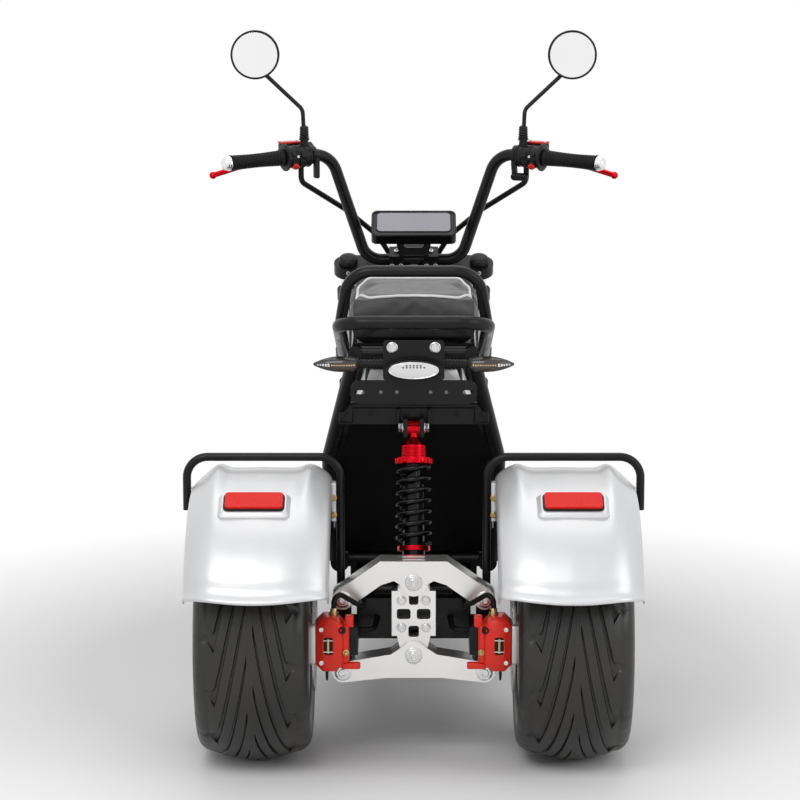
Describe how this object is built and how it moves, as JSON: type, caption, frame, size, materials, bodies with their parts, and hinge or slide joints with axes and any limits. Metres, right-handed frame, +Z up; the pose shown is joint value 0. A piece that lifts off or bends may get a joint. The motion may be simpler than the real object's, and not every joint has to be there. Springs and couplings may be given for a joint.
{
  "type": "three-wheeled electric scooter",
  "caption": "Three-wheeled electric scooter with a steered front wheel, wide rear tyres on a leaning linkage under silver mudguards, a stepped seat and high handlebar.",
  "frame": {"origin": "on the ground, under the middle of the overall length and width", "axes": "+Y forward, +X to the rider's right, +Z up"},
  "size_m": [0.884, 1.8071, 1.3469],
  "materials": {
    "frame_black": "gloss",
    "silver_paint": "metallic gloss",
    "black_plastic": "satin",
    "seat_leather": "soft grain",
    "billet": "machined",
    "black_alloy": "satin",
    "red_anodised": "anodised",
    "steel": "brushed",
    "chrome": "polished",
    "rubber": "matte",
    "tyre": "matte",
    "rim_alloy": "cast",
    "red_lens": "gloss",
    "clear_lens": "clear",
    "mirror_face": "mirror",
    "screen": "gloss",
    "spring_black": "gloss",
    "battery_case": "matte"
  },
  "bodies": {
    "chassis": {"frame": "frame_black", "battery_tray": "black_alloy", "battery": "battery_case", "footboard": "rubber", "body_cover": "silver_paint", "rear_panel": "black_plastic", "seat_pan": "black_plastic", "seat_cushion": "seat_leather", "grab_rail": "frame_black", "tail_bracket": "black_alloy", "tail_lamp": "clear_lens", "turn_signals": "black_plastic", "swingarm": "black_alloy", "link_hub": "billet", "upper_link": "billet", "lower_link": "billet", "uprights": "black_alloy", "pivot_pins": "steel", "shock_damper": "black_alloy", "shock_spring": "spring_black", "shock_collars": "red_anodised", "rear_calipers": "red_anodised", "rear_fenders": "silver_paint", "rear_reflectors": "red_lens", "fender_hoops": "frame_black", "rear_cables": "rubber"},
    "steering": {"fork_yokes": "black_alloy", "fork_tubes": "chrome", "fork_sliders": "black_alloy", "front_axle": "steel", "front_caliper": "red_anodised", "front_fender": "silver_paint", "handlebar": "frame_black", "bar_clamps": "black_alloy", "grips": "rubber", "bar_ends": "chrome", "switch_pods": "black_plastic", "brake_levers": "red_anodised", "mirrors": "black_plastic", "mirror_glass": "mirror_face", "display": "screen", "display_bracket": "black_alloy", "headlamp": "black_plastic", "headlamp_lens": "clear_lens", "headlamp_bracket": "black_alloy", "bar_looms": "rubber"},
    "front_wheel": {"front_tyre": "tyre", "front_rim": "rim_alloy", "front_disc": "steel"},
    "rear_wheel_left": {"rear_tyre_left": "tyre", "rear_motor_wheel_left": "rim_alloy", "rear_disc_left": "steel"},
    "rear_wheel_right": {"rear_tyre_right": "tyre", "rear_motor_wheel_right": "rim_alloy", "rear_disc_right": "steel"}
  },
  "joints": [
    {"name": "steering_turn", "type": "hinge", "parent": "chassis", "child": "steering", "pos_m": [0, 0.3989, 0.69711], "axis": [0, -0.4226, 0.9063], "range_deg": [-35, 35]},
    {"name": "front_wheel_spin", "type": "hinge", "parent": "steering", "child": "front_wheel", "pos_m": [0, 0.6624, 0.2385], "axis": [1, 0, 0], "continuous": true},
    {"name": "rear_wheel_left_spin", "type": "hinge", "parent": "chassis", "child": "rear_wheel_left", "pos_m": [-0.302, -0.5976, 0.2385], "axis": [1, 0, 0], "continuous": true},
    {"name": "rear_wheel_right_spin", "type": "hinge", "parent": "chassis", "child": "rear_wheel_right", "pos_m": [0.302, -0.5976, 0.2385], "axis": [1, 0, 0], "continuous": true}
  ]
}
